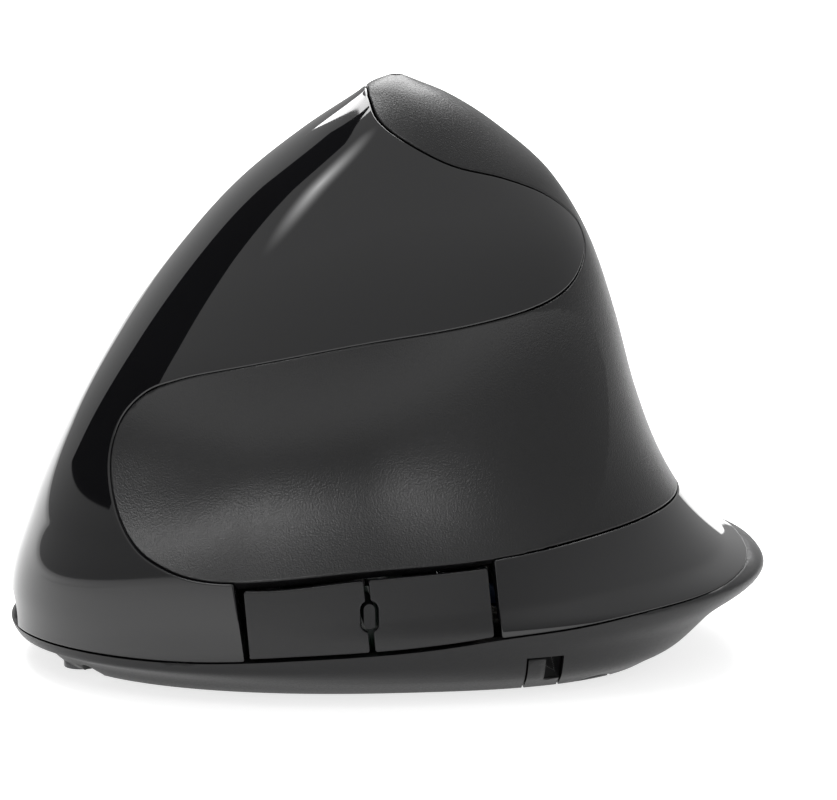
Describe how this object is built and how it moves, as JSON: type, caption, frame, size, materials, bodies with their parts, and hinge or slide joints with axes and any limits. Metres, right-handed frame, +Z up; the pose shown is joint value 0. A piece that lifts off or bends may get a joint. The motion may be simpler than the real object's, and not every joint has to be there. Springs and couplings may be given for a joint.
{
  "type": "vertical mouse",
  "caption": "Wireless vertical computer mouse for the right hand: shark-fin body with thumb hollow, two sloped click keys, ribbed wheel, side keys and cell door.",
  "frame": {"origin": "centre of the footprint's bounding box on the desk plane, under the glide feet", "axes": "+Y towards the nose, +X towards the finger side, -X towards the thumb side, +Z up from the desk"},
  "size_m": [0.072, 0.106, 0.082],
  "materials": {
    "gloss_black": "glossy black",
    "soft_touch": "soft-touch matte, fine grain",
    "base_plastic": "fine matte",
    "side_satin": "satin",
    "frame_plastic": "moulded matte",
    "wheel_rubber": "ribbed rubber",
    "wheel_plastic": "moulded matte",
    "switch_black": "moulded matte",
    "circuit_board": "green solder mask",
    "lens_clear": "clear moulded",
    "cell_jacket": "plain printed-free sleeve",
    "steel": "bright",
    "nickel": "nickel plated",
    "receiver_plastic": "fine matte",
    "ribbon_film": "flat film",
    "glide": "slick low-friction sheet"
  },
  "bodies": {
    "casing": {"bottom_shell": "base_plastic", "front_shell": "gloss_black", "palm_shell": "soft_touch", "nose_plug": "base_plastic", "click_hinge_pin": "steel", "left_click_switch": "switch_black", "right_click_switch": "switch_black", "click_circuit_board": "circuit_board", "inner_frame": "frame_plastic", "wheel_press_switch": "switch_black", "dpi_switch": "switch_black", "button_divider": "base_plastic", "side_button_bracket": "frame_plastic", "side_button_pins": "steel", "side_circuit_board": "circuit_board", "forward_switch": "switch_black", "back_switch": "switch_black", "main_circuit_board": "circuit_board", "controller_chip": "switch_black", "optical_sensor": "switch_black", "sensor_lens": "lens_clear", "illumination_led": "lens_clear", "power_switch_body": "switch_black", "battery_front": "cell_jacket", "battery_rear": "cell_jacket", "battery_contact_plates": "nickel", "battery_springs": "nickel", "battery_leads": "nickel", "click_ribbon": "ribbon_film", "side_ribbon": "ribbon_film", "front_glide_foot": "glide", "rear_glide_foot": "glide", "case_screws": "steel", "board_screws": "steel"},
    "left_click": {"left_click_button": "gloss_black"},
    "right_click": {"right_click_button": "gloss_black"},
    "wheel_carriage": {"wheel_carrier": "frame_plastic", "wheel_encoder": "switch_black"},
    "scroll_wheel": {"wheel_tyre": "wheel_rubber", "wheel_hub": "wheel_plastic"},
    "dpi_key": {"dpi_button": "side_satin"},
    "forward_key": {"forward_button": "side_satin"},
    "back_key": {"back_button": "side_satin"},
    "power_knob": {"power_switch_knob": "side_satin"},
    "battery_cover": {"battery_door": "base_plastic"},
    "usb_receiver": {"usb_receiver_body": "receiver_plastic", "usb_receiver_plug": "nickel"}
  },
  "joints": [
    {"name": "left_click_press", "type": "hinge", "parent": "casing", "child": "left_click", "pos_m": [0.00824, -0.0105, 0.05558], "axis": [-0.4695, 0, 0.8829], "range_deg": [0, 1], "stiffness_Nm_per_rad": 0.6},
    {"name": "right_click_press", "type": "hinge", "parent": "casing", "child": "right_click", "pos_m": [0.02139, -0.0105, 0.03085], "axis": [-0.4695, 0, 0.8829], "range_deg": [0, 1], "stiffness_Nm_per_rad": 0.6},
    {"name": "wheel_press", "type": "slide", "parent": "casing", "child": "wheel_carriage", "axis": [-0.8829, 0, -0.4695], "range_m": [0, 0.0006], "stiffness_N_per_m": 1500},
    {"name": "wheel_spin", "type": "hinge", "parent": "wheel_carriage", "child": "scroll_wheel", "pos_m": [0.01225, 0.018, 0.04185], "axis": [-0.4695, 0, 0.8829], "continuous": true},
    {"name": "dpi_press", "type": "slide", "parent": "casing", "child": "dpi_key", "axis": [-0.8829, 0, -0.4695], "range_m": [0, 0.0005], "stiffness_N_per_m": 1500},
    {"name": "forward_press", "type": "hinge", "parent": "casing", "child": "forward_key", "pos_m": [-0.02901, 0.0186, 0.0129], "axis": [0, 0, 1], "range_deg": [0, 2.5], "stiffness_Nm_per_rad": 0.25},
    {"name": "back_press", "type": "hinge", "parent": "casing", "child": "back_key", "pos_m": [-0.0309, -0.0071, 0.0129], "axis": [0, 0, -1], "range_deg": [0, 2.5], "stiffness_Nm_per_rad": 0.25},
    {"name": "power_slide", "type": "slide", "parent": "casing", "child": "power_knob", "axis": [0, 1, 0], "range_m": [0, 0.003]},
    {"name": "battery_door_hinge", "type": "hinge", "parent": "casing", "child": "battery_cover", "pos_m": [0.0266, -0.01735, 0.0019], "axis": [0, -1, 0], "range_deg": [0, 70]},
    {"name": "receiver_pull", "type": "slide", "parent": "casing", "child": "usb_receiver", "axis": [0, -0.6428, -0.766], "range_m": [0, 0.014]}
  ]
}
